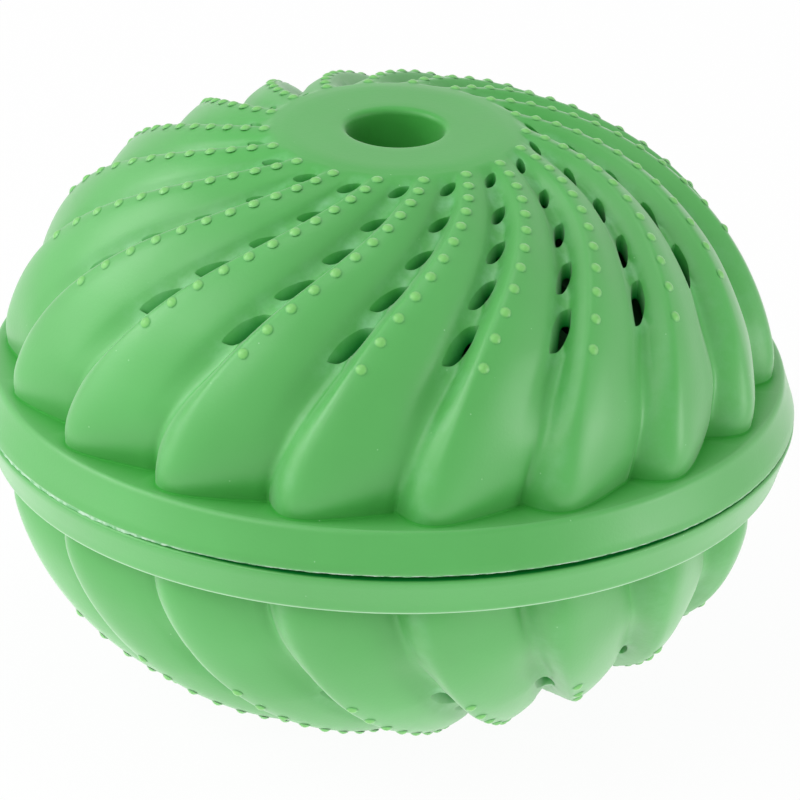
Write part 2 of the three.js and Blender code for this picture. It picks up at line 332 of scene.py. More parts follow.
@dataclass(frozen=True)
class Sector:
    """One slice of a body of revolution, as rows of points that run round its closed section."""

    copies: int
    merge: float = 0.002
    crease: float = math.radians(38)
    lip_segments: int = 3

    def sew(self, name: str, points: np.ndarray, marks: dict[str, np.ndarray]) -> bpy.types.Object:
        """Shapes a flat grid into the slice.

        Args:
            name: the piece's name.
            points: places in millimetres, by row and column; the last row meets the first.
            marks: numbers to store for each point, by row and column.

        Returns:
            The slice, open at both sides.
        """
        rows, columns = points.shape[0] - 1, points.shape[1] - 1
        bpy.ops.object.select_all(action="DESELECT")
        bpy.ops.mesh.primitive_grid_add(x_subdivisions=columns, y_subdivisions=rows, size=2)
        piece = bpy.context.object
        piece.name = piece.data.name = name
        flat = Bench.read(piece)
        column = np.rint((flat[:, 0] + 1) / 2 * columns).astype(int)
        row = np.rint((flat[:, 1] + 1) / 2 * rows).astype(int)
        Bench.write(piece, points[row, column] * MM)
        Bench.keep(piece, "row", row, "INT")
        Bench.keep(piece, "column", column, "INT")
        for mark, values in marks.items():
            Bench.keep(piece, mark, values[row, column])
        return piece

    def pierce(self, piece: bpy.types.Object, holes: list[Hole], lip: float) -> None:
        """Opens the holes, walls them and rounds their outer edges.

        Args:
            piece: the slice.
            holes: where it is open.
            lip: the rounding of each hole's outer edge, in millimetres.
        """
        corners = np.zeros(len(piece.data.polygons) * 4, np.int32)
        piece.data.polygons.foreach_get("vertices", corners)
        corners = corners.reshape(-1, 4)
        row, column = Bench.kept(piece, "row"), Bench.kept(piece, "column")
        chosen = np.zeros(len(corners), bool)
        for hole in holes:
            for rows in (hole.rows, hole.inner_rows):
                chosen |= self.inside(row, column, rows, hole.columns)[corners].all(axis=1)
        Bench.edit(piece, "FACE", chosen)
        bpy.ops.mesh.delete(type="FACE")
        Bench.leave()
        for hole in holes:
            both_rims = self.rim(piece, hole.rows, hole) | self.rim(piece, hole.inner_rows, hole)
            Bench.edit(piece, "EDGE", both_rims)
            bpy.ops.mesh.bridge_edge_loops()
            Bench.leave()
        edges = np.zeros(len(piece.data.edges), bool)
        for hole in holes:
            edges |= self.rim(piece, hole.rows, hole)
        Bench.edit(piece, "EDGE", edges)
        bpy.ops.mesh.bevel(offset=lip * MM, segments=self.lip_segments, affect="EDGES", clamp_overlap=True)
        Bench.leave()

    @staticmethod
    def round_hole(points: np.ndarray, rows: Span, columns: Span, point: Pair, bend: Pair) -> None:
        """Rounds the corners of a hole in one wall.

        Args:
            points: the wall's points by row and column, changed in place.
            rows: the hole's first and last row.
            columns: the hole's first and last column.
            point: the rounding along and across the rows, in millimetres, of the corners at first row,
                last column and the reverse; at most a quarter of the hole.
            bend: the same for the other two corners; at most three quarters of the hole.
        """
        block = points[rows[0] : rows[1] + 1, columns[0] : columns[1] + 1].copy()
        counts = np.array(block.shape[:2]) - 1
        middle = counts // 2
        along = np.linalg.norm(block[-1, middle[1]] - block[0, middle[1]]) / 2
        across = np.linalg.norm(block[middle[0], -1] - block[middle[0], 0]) / 2
        half = np.array([along, across])
        for cell in np.ndindex(*block.shape[:2]):
            if not any(c in (0, n) for c, n in zip(cell, counts)):
                continue
            place = (2 * np.array(cell) / counts - 1) * half
            for signs in np.array([(-1, -1), (-1, 1), (1, -1), (1, 1)]):
                broad = signs.prod() > 0
                size = np.minimum(bend if broad else point, (BEND_LIMIT if broad else POINT_LIMIT) * half)
                out = (place * signs - half) / size + 1
                if (out > 0).all():
                    turned = signs * (half - size + size * out / np.linalg.norm(out))
                    spot = (turned / half + 1) / 2 * counts
                    points[rows[0] + cell[0], columns[0] + cell[1]] = Sector.read_block(block, *spot)

    @staticmethod
    def read_block(block: np.ndarray, u: float, v: float) -> np.ndarray:
        """The point of a block of cells at a fractional row and column."""
        i, j = min(int(u), block.shape[0] - 2), min(int(v), block.shape[1] - 2)
        a, b = u - i, v - j
        low = block[i, j] * (1 - b) + block[i, j + 1] * b
        high = block[i + 1, j] * (1 - b) + block[i + 1, j + 1] * b
        return low * (1 - a) + high * a

    @staticmethod
    def inside(row: np.ndarray, column: np.ndarray, rows: Span, columns: Span) -> np.ndarray:
        """Which points lie in a block of rows and columns, its edge included."""
        in_rows = (row >= rows[0]) & (row <= rows[1])
        return in_rows & (column >= columns[0]) & (column <= columns[1])

    def rim(self, piece: bpy.types.Object, rows: Span, hole: Hole) -> np.ndarray:
        """The edges round a hole in one of the walls.

        Args:
            piece: the slice, with the hole's faces gone.
            rows: the hole's rows in that wall.
            hole: the hole.

        Returns:
            Whether each edge is one of them.
        """
        within = self.inside(Bench.kept(piece, "row"), Bench.kept(piece, "column"), rows, hole.columns)
        return within[Bench.edge_ends(piece)].all(axis=1)

    def close(self, piece: bpy.types.Object) -> None:
        """Turns copies of the slice round the axis and merges them into one body."""
        Bench.edit(piece, "VERT", np.ones(len(piece.data.vertices), bool))
        turned = self.copies - 1
        bpy.ops.mesh.spin(
            steps=turned, dupli=True, angle=FULL_TURN * turned / self.copies, center=(0, 0, 0), axis=(0, 0, 1)
        )
        Bench.leave()
        for mark in ("row", "column"):
            piece.data.attributes.remove(piece.data.attributes[mark])
        Bench.finish(piece, self.merge, self.crease)


@dataclass(frozen=True)
class Dome:
    """A dome in section: (r / radius)^squareness + (z / height)^doming = 1."""

    radius: float
    height: float
    squareness: float = 2.63
    doming: float = 2.12
    samples: int = 400

    def height_at(self, r: np.ndarray) -> np.ndarray:
        """Height of the dome at a radius."""
        return self.height * (1 - (np.asarray(r) / self.radius) ** self.squareness) ** (1 / self.doming)

    def radius_at(self, z: np.ndarray) -> np.ndarray:
        """Radius of the dome at a height."""
        return self.radius * (1 - (np.asarray(z) / self.height) ** self.doming) ** (1 / self.squareness)

    def normal_at(self, r: np.ndarray) -> tuple[np.ndarray, np.ndarray]:
        """Outward direction at a radius, as its parts along the radius and the axis."""
        across = self.squareness / self.radius * (r / self.radius) ** (self.squareness - 1)
        up = self.doming / self.height * (self.height_at(r) / self.height) ** (self.doming - 1)
        length = np.hypot(across, up)
        return across / length, up / length

    def even_radii(self, start: float, end: float, count: int) -> np.ndarray:
        """Radii from start to end, evenly spaced along the dome.

        Args:
            start: the first radius, left out.
            end: the last radius.
            count: how many.

        Returns:
            The radii.
        """
        fine = np.linspace(start, end, self.samples)
        along = np.concatenate([[0], np.cumsum(np.hypot(np.diff(fine), np.diff(self.height_at(fine))))])
        return np.interp(np.linspace(0, along[-1], count + 1)[1:], along, fine)


@dataclass(frozen=True)
class ShellForm:
    """Sizes of the soft half shells, as the solids have them, and of their moulded detail."""

    crest: Dome = Dome(48.0, 36.4)
    wall: float = 2.0

    # Petals and the valleys between them
    petals: int = 18
    swirl: float = math.radians(1.5)
    swirl_ease: float = math.radians(0.0172)
    ease_radius: float = 33.0
    crest_angle: float = math.radians(32.7)
    petal_start: float = 15.0
    petal_lead: float = 0.5
    valley_depth: float = 2.4
    valley_run: float = 7.0
    foot_depth: float = 1.2
    lag_at_disc: float = math.radians(10.8)
    lag_at_foot: float = math.radians(6.75)

    # Slots, with their edges on the outside and on the lining
    slots: int = 5
    slot_start: float = 16.3
    slot_pitch: float = 4.99
    slot_length: float = 1.8
    slot_growth: float = 0.475
    slot_width: float = 1.75
    slot_point: Pair = (0.3, 0.3)
    slot_bend: Pair = (3.2, 1.6)
    lining_bend: Pair = (1.2, 0.6)
    slot_lip: float = 0.06
    slot_flare: float = 0.03
    slot_scoop: float = 0.4
    scoop_start: float = 0.6

    # Polar disc, hole and collar
    disc_radius: float = 13.0
    disc_edge: float = 0.7
    hole_radius: float = 5.95
    hole_lip: float = 0.9
    collar_wall: float = 1.8
    collar_depth: float = 8.0
    collar_round: float = 0.4
    collar_shoulder: float = 2.5

    # Ledge, the petals' foot above it, and rim
    ledge_height: float = 5.4
    ledge_margin: float = 0.3
    foot_fillet: float = 0.12
    fillet_share: float = 0.5
    gutter: float = 0.25
    gutter_at_crest: float = 0.1
    tuck: float = 0.7
    tuck_height: float = 4.0
    rim_overhang: float = 2.35
    rim_taper: float = 1.25
    rim_edge: float = 1.0
    shoulder_pull: float = 0.15
    inner_foot_drop: float = 1.0

    # Seam, tongue and seat of the cage
    seam_edge: float = 0.4
    seam_gap: float = 0.3
    seam_land: float = 3.6
    tongue_wall: float = 1.6
    tongue_chamfer: float = 0.3
    fit: float = 0.3
    cage_rim: float = 1.5

    # Bend of the seam's edges along the front
    gap_bend: float = 0.18
    gap_fade: float = 2.2
    gap_inside: Pair = (-0.05, 0.1)
    gap_start: Pair = (math.radians(-32), math.radians(-2))
    gap_end: Pair = (math.radians(22), math.radians(66))

    # Depth across one petal, as shares of the valley's depth. Places run from a crest (0) down the broad
    # face to the slot's near edge (1) and far edge (2), and up the steep face to the next crest (3).
    # The points of the section among the slots move one by one to those of the section at the foot.
    section: tuple[Pair, ...] = (
        (0, 0), (0.1, 0.012), (0.25, 0.08), (0.4, 0.2), (0.6, 0.405), (0.8, 0.655), (1, 1.04), (1.25, 1.15),
        (1.5, 1.2), (1.75, 1.18), (1.9, 1.12), (2.07, 0.83), (2.2, 0.6), (2.42, 0.36), (2.58, 0.16),
        (2.7, 0.06), (2.85, 0.012), (3, 0),
    )
    foot_section: tuple[Pair, ...] = (
        (0, 0), (0.1, 0.035), (0.25, 0.175), (0.4, 0.345), (0.6, 0.585), (0.8, 0.81), (1, 1), (1.15, 1.09),
        (1.27, 1.12), (1.36, 1.09), (1.5, 0.95), (1.7, 0.7), (1.9, 0.48), (2.15, 0.26), (2.4, 0.12),
        (2.65, 0.04), (2.85, 0.007), (3, 0),
    )
    foot_reach: float = 17.0
    swell: float = 0.28
    swell_height: float = 13.5
    swell_reach: float = 5.0

    @property
    def pitch(self) -> float:
        """Angle from one petal to the next."""
        return FULL_TURN / self.petals

    @property
    def foot_radius(self) -> float:
        """Radius of the petals' crests where they meet the ledge."""
        return float(self.crest.radius_at(self.ledge_height))

    @property
    def inner_foot(self) -> float:
        """Inner radius of the shell at its foot."""
        return self.foot_radius - float(self.depth_at(self.foot_radius)) - self.wall

    @property
    def rim_radius(self) -> float:
        """Outer radius of the ball."""
        return self.foot_radius + self.rim_overhang

    @property
    def disc_height(self) -> float:
        """Height of the flat polar disc above the seam."""
        return float(self.crest.height_at(self.disc_radius))

    @property
    def seam_face(self) -> float:
        """Height of the face that meets the other half."""
        return self.seam_gap / 2

    @property
    def tongue_height(self) -> float:
        """How far the tongue reaches past the seam."""
        return self.seam_face + self.cage_rim

    @property
    def seat_height(self) -> float:
        """Height of the seat that holds the cage's rim."""
        return self.tongue_height + self.fit

    @property
    def step_radius(self) -> float:
        """Radius of the step that takes the tongue."""
        return self.rim_radius - self.seam_land

    @property
    def tongue_outer(self) -> float:
        """Outer radius of the tongue."""
        return self.step_radius - self.fit

    @property
    def tongue_inner(self) -> float:
        """Inner radius of the tongue."""
        return self.tongue_outer - self.tongue_wall

    def crest_turn(self, r: np.ndarray) -> np.ndarray:
        """Angle of the first crest at a radius."""
        held = np.clip(r, self.petal_start, self.foot_radius)
        eased = self.swirl_ease * np.maximum(held - self.ease_radius, 0) ** 2
        return self.crest_angle - self.swirl * (held - self.petal_start) + eased

    def section_at(self, foot: float, places: np.ndarray) -> np.ndarray:
        """Shares of the valley's depth across a petal.

        Args:
            foot: how near the foot the section lies, from 0 among the slots to 1 at the foot.
            places: places across the petal.

        Returns:
            A share for each place.
        """
        points = np.array(self.section) * (1 - foot) + np.array(self.foot_section) * foot
        return smooth_curve(points, places)

    def depth_at(self, r: np.ndarray) -> np.ndarray:
        """Depth of the valleys below the crests at a radius."""
        run = np.maximum(np.asarray(r) - self.petal_start, 0)
        last_slot = self.slot_spans()[-1][1]
        below_slots = np.maximum((np.asarray(r) - last_slot) / (self.foot_radius - last_slot), 0)
        return self.valley_depth * (1 - np.exp(-run / self.valley_run)) + self.foot_depth * below_slots

    def spread(self, r: np.ndarray, place: np.ndarray) -> np.ndarray:
        """Turns a place across a petal into a share of the petals' pitch.

        Args:
            r: the radius.
            place: 0 at a crest, 1 and 2 at the slot's edges, 3 at the next crest.

        Returns:
            The share of the pitch, from 0 to 1.
        """
        held = np.clip(r, self.petal_start, self.foot_radius)
        last_slot = self.slot_spans()[-1][1]
        reach = np.minimum((held - self.petal_start) / (last_slot - self.petal_start), 1)
        lag = self.lag_at_disc + (self.lag_at_foot - self.lag_at_disc) * reach
        slot = self.slot_width / (held * np.cos(np.arctan(held * self.swirl)))
        near, far = 1 - lag / self.pitch, 1 - (lag - slot) / self.pitch
        return np.where(
            place <= 1,
            near * place,
            np.where(place <= 2, near + (far - near) * (place - 1), far + (1 - far) * (place - 2)),
        )

    def bend_at(self, turn: np.ndarray) -> np.ndarray:
        """How far each half's seam edge is bent back at an angle from the front, in millimetres."""
        return self.gap_bend * smooth_band(self.gap_start, self.gap_end, turn)

    def slot_spans(self) -> list[Pair]:
        """Start and end radii of the slots along one valley."""
        starts = [self.slot_start + k * self.slot_pitch for k in range(self.slots)]
        return [(start, start + self.slot_length + k * self.slot_growth) for k, start in enumerate(starts)]


@dataclass(frozen=True)
class BloomAndHighlight:
    """Where the rubber is milky, on the bridges between the slots, and a painted highlight down the steep
    faces below them.

    Places run across a petal as in its section; lead, trail and below are millimetres of radius.
    """

    trough_rise: Pair = (0.7, 1.2)
    trough_fall: Pair = (1.8, 2.3)
    steep_rise: Pair = (1.2, 1.8)
    steep_fall: Pair = (2.3, 2.9)
    lead: float = 1.5
    trail: float = 2.0
    below: Pair = (-1.0, 1.5)
    trough_share: float = 0.5
    # The steep faces' share is a painted highlight.
    steep_highlight_share: float = 0.15

    def at(self, spans: list[Pair], radii: np.ndarray, places: np.ndarray) -> np.ndarray:
        """How milky the rubber is on the bridges, and how strong the painted highlight is down the steep
        faces.

        Args:
            spans: start and end radii of the slots.
            radii: crest radius of each row.
            places: places across the petal.

        Returns:
            Shares from 0 to 1 by row and column.
        """
        r = radii[:, None]
        first, last = spans[0][0], spans[-1][1]
        trough = smooth_band(self.trough_rise, self.trough_fall, places)
        in_slots = smooth_band((first - self.lead, first), (last, last + self.trail), r)
        steep = smooth_band(self.steep_rise, self.steep_fall, places)
        below = smooth_step(last + self.below[0], last + self.below[1], r)
        return np.maximum(self.trough_share * trough * in_slots, self.steep_highlight_share * steep * below)


@dataclass
class HalfShell:
    """One soft half shell: petals with nubs and slots, polar disc and hole, ledge, rim and seam."""

    side: Side
    form: ShellForm = ShellForm()
    bloom: BloomAndHighlight = BloomAndHighlight()

    # Columns across a petal, and rows round its section
    broad_columns: int = 12
    slot_columns: int = 8
    steep_columns: int = 6
    slot_rows: int = 8
    bridge_rows: int = 3
    foot_rows: int = 20
    inner_foot_rows: int = 6
    hole_rows: int = 6
    lip_rows: int = 5
    disc_rows: int = 6
    shoulder_rows: int = 6
    side_rows: int = 4
    seam_edge_rows: int = 4
    lining_samples: int = 300

    # The row of the lower rim's edge that carries a painted highlight line, and where the rubber has less
    # gloss
    painted_highlight_row: int = 7
    disc_dullness: float = 0.45
    dull_rows: int = 36
    fillet_dullness: float = 0.9

    # Nubs along each crest; the cut and the pale part are shares of a nub's radius and height
    nubs: int = 12
    nub_start: float = 15.8
    nub_pitch: float = 2.27
    nub_radius: float = 0.74
    nub_height: float = 0.34
    nub_softness: float = 1.15
    nub_root: float = 0.15
    nub_shift: float = 0.35
    nub_segments: int = 10
    nub_rings: int = 8
    nub_cut: float = 0.3
    nub_pale: float = 0.5

    def build(self) -> bpy.types.Object:
        """Models the half shell.

        Returns:
            The finished piece.
        """
        points, holes, marks = self.lay_out()
        sector = Sector(self.form.petals)
        piece = sector.sew(f"{self.side.name.lower()}_petal_shell", points, marks)
        sector.pierce(piece, holes, self.form.slot_lip)
        self.add_nubs(piece)
        sector.close(piece)
        self.part_seam(piece)
        return piece

    def part_seam(self, piece: bpy.types.Object) -> None:
        """Bends the seam's edge back along the front, where the halves don't quite close.

        Args:
            piece: the whole half shell.
        """
        f = self.form
        places = Bench.read(piece) / MM
        turn = np.arctan2(places[:, 0], -places[:, 1])
        near_seam = 1 - smooth_step(f.seam_face, f.seam_face + f.gap_fade, np.abs(places[:, 2]))
        past_step = np.hypot(places[:, 0], places[:, 1]) - f.step_radius
        outside = smooth_step(*f.gap_inside, past_step)
        places[:, 2] += self.side.value * f.bend_at(turn) * near_seam * outside
        Bench.write(piece, places * MM)

    def places(self) -> np.ndarray:
        """Places across one petal, closer together where it bends."""
        near = 1 - self.form.slot_flare
        broad = np.linspace(0, 1, self.broad_columns + 1)
        broad = near * (broad + smooth_step(0, 1, broad)) / 2
        slot = np.linspace(near, 2, self.slot_columns + 1)
        steep = np.linspace(2, 3, self.steep_columns + 1)
        return np.concatenate([broad, slot[1:], steep[1:]])

    def scooped(self, places: np.ndarray) -> np.ndarray:
        """The same places on the lining, where the slots' near edges lie further in."""
        start, near, scooped = self.form.scoop_start, 1 - self.form.slot_flare, 1 + self.form.slot_scoop
        return np.interp(places, [0, start, near, 2, 3], [0, start, scooped, 2, 3])

    def outer_radii(self) -> tuple[np.ndarray, list[Span]]:
        """Crest radii of the petals' rows, and the rows at which each slot starts and ends."""
        f = self.form
        radii = [f.disc_radius, f.disc_radius + f.disc_edge, f.petal_start - f.petal_lead, f.petal_start]
        blocks = []
        for start, end in f.slot_spans():
            bridge = np.linspace(radii[-1], start, self.bridge_rows + 1)[1:]
            slot = np.linspace(start, end, self.slot_rows + 1)[1:]
            first = len(radii) + self.bridge_rows - 1
            radii += [*bridge, *slot]
            blocks.append((first, first + self.slot_rows))
        last = float(f.crest.radius_at(f.ledge_height + f.foot_fillet))
        radii += list(f.crest.even_radii(radii[-1], last, self.foot_rows))
        return np.array(radii), blocks

    def petal_surface(self, radii: np.ndarray, places: np.ndarray) -> np.ndarray:
        """Outer surface of one petal.

        Args:
            radii: crest radius of each row.
            places: places across the petal.

        Returns:
            Points by row and column.
        """
        f = self.form
        r = radii[:, None]
        z = f.crest.height_at(r)
        at_foot = 1 - smooth_step(f.ledge_height, f.ledge_height + f.foot_reach, z)
        share = np.stack([f.section_at(foot, places) for foot in at_foot[:, 0]])
        share = share * (1 - f.swell * np.exp(-(((z - f.swell_height) / f.swell_reach) ** 2)))
        depth = f.depth_at(r) * share
        across, up = f.crest.normal_at(r)
        across, up = across * (1 - at_foot) + at_foot, up * (1 - at_foot)
        tuck = f.tuck * np.maximum(1 - (z - f.ledge_height) / f.tuck_height, 0) ** 2
        return self.turn(r, places, r - depth * across - tuck, z - depth * up)

    def turn(self, r: np.ndarray, places: np.ndarray, radius: np.ndarray, height: np.ndarray) -> np.ndarray:
        """Points at places across a petal.

        Args:
            r: crest radius, which sets the petal's drift.
            places: places across the petal.
            radius: distance from the axis.
            height: height above the seam.

        Returns:
            Points with x, y and z last.
        """
        angle = self.form.crest_turn(r) + self.form.pitch * self.form.spread(r, places)
        return ring_points(radius, angle, height)

    def inner_surface(self, outer: np.ndarray, radii: np.ndarray) -> np.ndarray:
        """Inner surface below a petal: straight below the slots, and evenly on from there to the foot.

        Args:
            outer: the outer surface.
            radii: crest radius of each row.

        Returns:
            Points by row and column.
        """
        f = self.form
        fine = np.linspace(f.disc_radius, f.foot_radius, self.lining_samples)
        across, up = f.crest.normal_at(fine)
        inset = f.depth_at(fine) + f.wall
        lining_r, lining_z = fine - inset * across, f.crest.height_at(fine) - inset * up
        radius = np.hypot(outer[..., 0], outer[..., 1])
        along = np.interp(radius, lining_r, fine)
        last_slot = len(radii) - self.inner_foot_rows - 1
        share = np.linspace(0, 1, self.inner_foot_rows + 1)[:, None]
        along[last_slot:] = along[last_slot] * (1 - share) + radii[-1] * share
        inner = outer * (np.interp(along, fine, lining_r) / radius)[..., None]
        inner[..., 2] = np.interp(along, fine, lining_z)
        return inner

    def seam_section(self) -> list[Pair]:
        """Points from the seam's outer edge to the seat of the cage, for this half."""
        f = self.form
        if self.side is Side.UPPER:
            return [(f.step_radius, f.seam_face), (f.step_radius, f.seat_height)]
        chamfer = f.tongue_chamfer
        return [
            (f.tongue_outer, f.seam_face),
            (f.tongue_outer, -f.tongue_height + chamfer),
            (f.tongue_outer - chamfer, -f.tongue_height),
            (f.tongue_inner + chamfer, -f.tongue_height),
            (f.tongue_inner, -f.tongue_height + chamfer),
            (f.tongue_inner, f.seat_height),
        ]

    def lay_out(self) -> tuple[np.ndarray, list[Hole], dict[str, np.ndarray]]:
        """Rows of points round the section of one petal's slice.

        Returns:
            The points, the slots, and the marks that the finish reads.
        """
        f = self.form
        places = self.places()
        radii, blocks = self.outer_radii()
        columns = (self.broad_columns, self.broad_columns + self.slot_columns)
        outer = self.petal_surface(radii, places)
        for block in blocks:
            Sector.round_hole(outer, block, columns, f.slot_point, f.slot_bend)
        pole = self.ring_rows(self.pole_section(), f.petal_start, places)
        rim = self.ring_rows(self.rim_section(), f.foot_radius, places)
        rim = np.concatenate([self.fillet_rows(outer[-1]), rim])
        lining = self.lining_rows(radii, blocks, columns)
        collar = self.ring_rows(self.collar_section(), f.petal_start, places)
        points = np.concatenate([pole, outer, rim, lining, collar])
        points[..., 2] *= self.side.value

        first, foot = len(pole), len(pole) + len(outer)
        last_inner = foot + len(rim) + len(lining) - 1
        holes = [
            Hole((first + start, first + end), (last_inner - end, last_inner - start), columns)
            for start, end in blocks
        ]
        marks = {mark: np.zeros(points.shape[:2]) for mark in MARKS}
        # Milky bloom on the bridges, and a painted highlight down the steep faces.
        marks["bloom"][first:foot] = self.bloom.at(f.slot_spans(), radii, places)
        land = foot + len(rim) - len(self.seam_section()) - ROWS_PAST_LAND
        # Painted shade on the seam land, the lining and down the slot walls, which also lose their gloss.
        marks["inner"][land : last_inner + 1] = 1
        dull = marks["dull"]
        dull += marks["inner"]
        dull[:first] = self.disc_dullness
        dull[first : first + self.dull_rows] = np.linspace(self.disc_dullness, 0, self.dull_rows)[:, None]
        dull[foot : foot + len(FILLET_ANGLES)] = self.fillet_dullness
        # Painted highlight line along the lower rim's edge.
        if self.side is Side.LOWER:
            marks["edge"][foot + self.painted_highlight_row] = 1
        return points, holes, marks

    def pole_section(self) -> list[Pair]:
        """Points from the collar's end up the polar hole, over its lip and across the disc."""
        f = self.form
        straight = f.collar_depth - f.hole_lip
        collar_end = f.disc_height - f.collar_depth
        hole = [(f.hole_radius, collar_end + z) for z in np.linspace(0, straight, self.hole_rows)]
        lip_end = (f.hole_radius + f.hole_lip, f.disc_height)
        lip = arc(hole[-1], (f.hole_radius, f.disc_height), lip_end, self.lip_rows)
        disc = [(r, f.disc_height) for r in np.linspace(lip_end[0], f.disc_radius, self.disc_rows)[1:-1]]
        return [*hole, *lip, *disc]

    def collar_section(self) -> list[Pair]:
        """Points from the disc's lining down the collar to the polar hole's end."""
        f = self.form
        collar, top = f.hole_radius + f.collar_wall, f.disc_height - f.wall
        collar_end, corner = f.disc_height - f.collar_depth, f.collar_round
        return [
            (collar + f.collar_shoulder, top),
            (collar + corner, top),
            (collar, top - corner),
            (collar, collar_end + corner),
            (collar - corner, collar_end),
            (f.hole_radius, collar_end),
        ]

    def lining_rows(self, radii: np.ndarray, blocks: list[Span], columns: Span) -> np.ndarray:
        """Rows of the inner wall, from the foot up to the disc.

        Args:
            radii: crest radii of the outer wall's rows.
            blocks: the rows at which each slot starts and ends.
            columns: the slots' first and last column.

        Returns:
            Points by row and column.
        """
        f = self.form
        slots_end = blocks[-1][1]
        below = f.crest.even_radii(radii[slots_end], radii[-1], self.inner_foot_rows)
        inner_radii = np.concatenate([radii[: slots_end + 1], below])
        above = self.petal_surface(inner_radii, self.scooped(self.places()))
        for block in blocks:
            Sector.round_hole(above, block, columns, f.slot_point, f.lining_bend)
        return self.inner_surface(above, inner_radii)[::-1]

    def ring_rows(self, section: list[Pair], r: float, places: np.ndarray) -> np.ndarray:
        """Plain rows round the axis.

        Args:
            section: radius and height of each row.
            r: crest radius whose drift the rows take.
            places: places across the petal.

        Returns:
            Points by row and column.
        """
        radius, height = np.array(section, float).T[:, :, None]
        return self.turn(np.full_like(radius, r), places, radius, height)

    def fillet_rows(self, foot: np.ndarray) -> np.ndarray:
        """Rows that round the corner between a petal's foot and the ledge.

        Args:
            foot: the petal's last row.

        Returns:
            Points by row and column.
        """
        f = self.form
        radius = np.hypot(foot[:, 0], foot[:, 1])
        room = f.foot_radius + f.ledge_margin - radius
        fillet = np.minimum(f.fillet_share * room, f.foot_fillet)
        floor = f.ledge_height - f.gutter_at_crest - f.gutter * np.clip(room / np.max(room), 0, 1)
        rows = []
        for angle in np.radians(FILLET_ANGLES):
            out = (radius + fillet * (1 - np.cos(angle))) / radius
            height = floor + fillet * (1 - np.sin(angle))
            rows.append(np.stack([foot[:, 0] * out, foot[:, 1] * out, height], axis=-1))
        return np.stack(rows)

    def rim_section(self) -> list[Pair]:
        """Points from the ledge over the rim and the seam to the inner foot."""
        f = self.form
        ledge = (f.foot_radius + f.ledge_margin, f.ledge_height)
        shoulder = (f.rim_radius - f.rim_taper, f.ledge_height - f.rim_edge)
        edge = (f.rim_radius, f.seam_face + f.seam_edge)
        side = [tuple(point) for point in np.linspace(shoulder, edge, self.side_rows + 1)[1:]]
        land = (f.rim_radius - f.seam_edge, f.seam_face)
        over = arc(ledge, (shoulder[0] - f.shoulder_pull, ledge[1]), shoulder, self.shoulder_rows)
        under = arc(edge, (f.rim_radius, f.seam_face), land, self.seam_edge_rows)
        inner_foot = [(f.inner_foot, f.seat_height), (f.inner_foot, f.ledge_height - f.inner_foot_drop)]
        return [ledge, *over, *side, *under, *self.seam_section(), *inner_foot]

    def add_nubs(self, piece: bpy.types.Object) -> None:
        """Sets a row of round nubs along the crest of the slice.

        Args:
            piece: the slice that they join.
        """
        nub = self.make_nub()
        shape = Bench.read(nub)
        f = self.form
        for k in range(self.nubs):
            r = self.nub_start + k * self.nub_pitch
            copy = nub.copy()
            copy.data = nub.data.copy()
            bpy.context.collection.objects.link(copy)
            turn = float(f.crest_turn(r)) + self.nub_shift / r
            across, up = f.crest.normal_at(r)
            outward = Vector((math.sin(turn), -math.cos(turn), 0))
            normal = outward * float(across) + Vector((0, 0, float(up)))
            sideways = Vector((math.cos(turn), math.sin(turn), 0))
            frame = np.array(Matrix((sideways, normal.cross(sideways), normal)))
            place = np.array(outward * r + Vector((0, 0, float(f.crest.height_at(r)))))
            spot = (shape / MM) @ frame + place
            spot[:, 2] *= self.side.value
            Bench.write(copy, spot * MM)
            Bench.take(piece)
            copy.select_set(True)
            bpy.ops.object.join()
        bpy.data.objects.remove(nub)

    def make_nub(self) -> bpy.types.Object:
        """Models one nub on the axis.

        Returns:
            A closed low dome, sunk a little below its base.
        """
        bpy.ops.object.select_all(action="DESELECT")
        bpy.ops.mesh.primitive_uv_sphere_add(
            segments=self.nub_segments, ring_count=self.nub_rings, radius=self.nub_radius * MM
        )
        nub = bpy.context.object
        below = Bench.read(nub)[:, 2] < -self.nub_cut * self.nub_radius * MM
        Bench.edit(nub, "VERT", below)
        bpy.ops.mesh.delete(type="VERT")
        bpy.ops.mesh.select_all(action="SELECT")
        bpy.ops.mesh.region_to_loop()
        bpy.ops.mesh.edge_face_add()
        Bench.leave()
        places = Bench.read(nub)
        span = np.minimum(np.hypot(places[:, 0], places[:, 1]) / (self.nub_radius * MM), 1)
        dome = (1 - span**2) ** self.nub_softness
        places[:, 2] = np.where(places[:, 2] < -LEVEL, -self.nub_root, self.nub_height * dome) * MM
        Bench.write(nub, places)
        Bench.keep(nub, "nub", smooth_step(0, self.nub_pale, dome))
        for mark in MARKS:
            if mark != "nub":
                Bench.keep(nub, mark, np.zeros(len(places)))
        return nub


